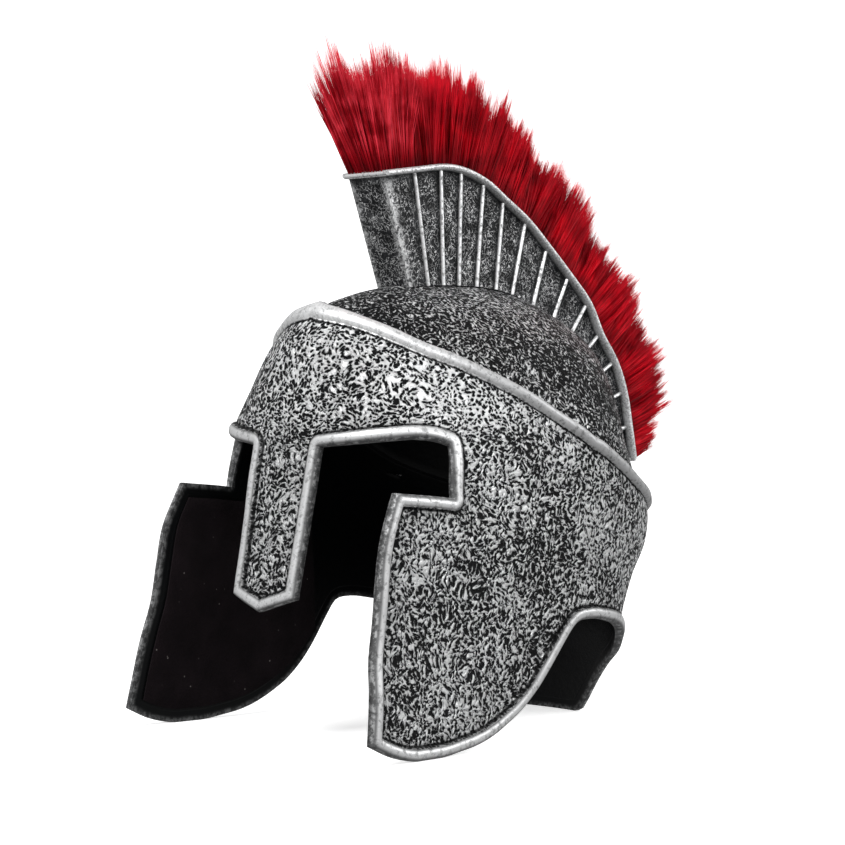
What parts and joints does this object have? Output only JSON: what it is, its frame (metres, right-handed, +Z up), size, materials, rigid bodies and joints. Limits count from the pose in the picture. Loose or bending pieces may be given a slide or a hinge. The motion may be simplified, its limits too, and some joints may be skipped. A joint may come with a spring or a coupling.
{
  "type": "roman legionary helmet",
  "caption": "Cast costume helmet with open face, nasal and cheek guards, sloping band, neck guard and a ribbed crest box with upright fur.",
  "frame": {"origin": "middle of the overall box at the floor that the helmet stands on", "axes": "+Z up, wearer faces -Y, +X towards the wearer's left"},
  "size_m": [0.1974, 0.339, 0.3648],
  "materials": {
    "silvered_latex": "cast latex, black with silver brushed over hammered relief",
    "crest_latex": "cast latex, dark grey brushed with silver on its ribs",
    "red_fur": "deep crimson synthetic fur, upright strands",
    "black_felt": "matte black felt"
  },
  "bodies": {
    "root": {"helmet_shell": "silvered_latex", "crest_box": "crest_latex", "fur_crest": "red_fur", "cheek_lining_left": "black_felt", "cheek_lining_right": "black_felt"}
  },
  "joints": []
}
